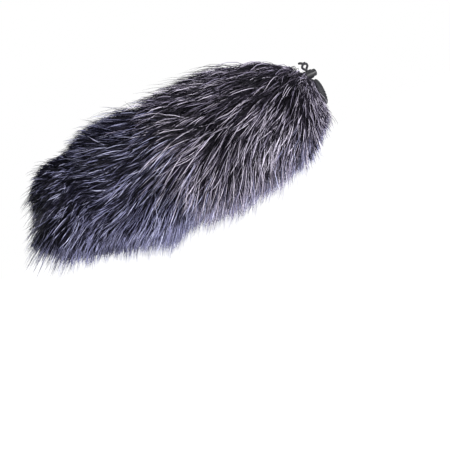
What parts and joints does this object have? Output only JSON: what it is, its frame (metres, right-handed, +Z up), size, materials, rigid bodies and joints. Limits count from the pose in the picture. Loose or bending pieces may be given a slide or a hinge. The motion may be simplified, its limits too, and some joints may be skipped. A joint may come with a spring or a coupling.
{
  "type": "furry windscreen",
  "caption": "Long-pile fur windscreen with a foam core that slips over a shotgun microphone and is closed at its collar by an elastic drawcord and a sprung cord lock.",
  "frame": {"origin": "centre of the mouth, at the collar's rear edge, on the axis of the microphone bore", "axes": "+Y along the bore, the way the microphone is drawn out, so the nose points to -Y; +Z up, through the cord lock"},
  "size_m": [0.133, 0.319, 0.133],
  "materials": {
    "fur": "matte",
    "fur_nose": "matte",
    "lining": "matte",
    "foam": "matte",
    "collar": "matte",
    "thread": "satin",
    "cord": "matte",
    "lock_body": "satin",
    "lock_plunger": "satin",
    "spring": "satin"
  },
  "bodies": {
    "windscreen": {"fur_sleeve": "fur", "fur_nose_panel": "fur_nose", "long_seam_thread": "thread", "nose_seam_thread": "thread", "lining_sleeve": "lining", "lining_nose_panel": "lining", "foam_core": "foam", "foam_nose_plug": "foam", "collar_band": "collar", "collar_thread_front": "thread", "collar_thread_rear": "thread", "buttonhole_stitching": "thread", "drawcord_channel": "cord", "drawcord_loop": "cord", "drawcord_knot": "cord"},
    "cord_lock": {"cord_lock_body": "lock_body", "cord_lock_spring": "spring"},
    "lock_plunger": {"cord_lock_plunger": "lock_plunger"}
  },
  "joints": [
    {"name": "lock_slide", "type": "slide", "parent": "windscreen", "child": "cord_lock", "axis": [0, 0, 1], "range_m": [0, 0.005], "deforming": ["drawcord_loop", "drawcord_knot"]},
    {"name": "plunger_press", "type": "slide", "parent": "cord_lock", "child": "lock_plunger", "axis": [0, -1, 0], "range_m": [0, 0.0022], "stiffness_N_per_m": 700, "springref_m": -0.0012, "deforming": ["cord_lock_spring"]}
  ]
}
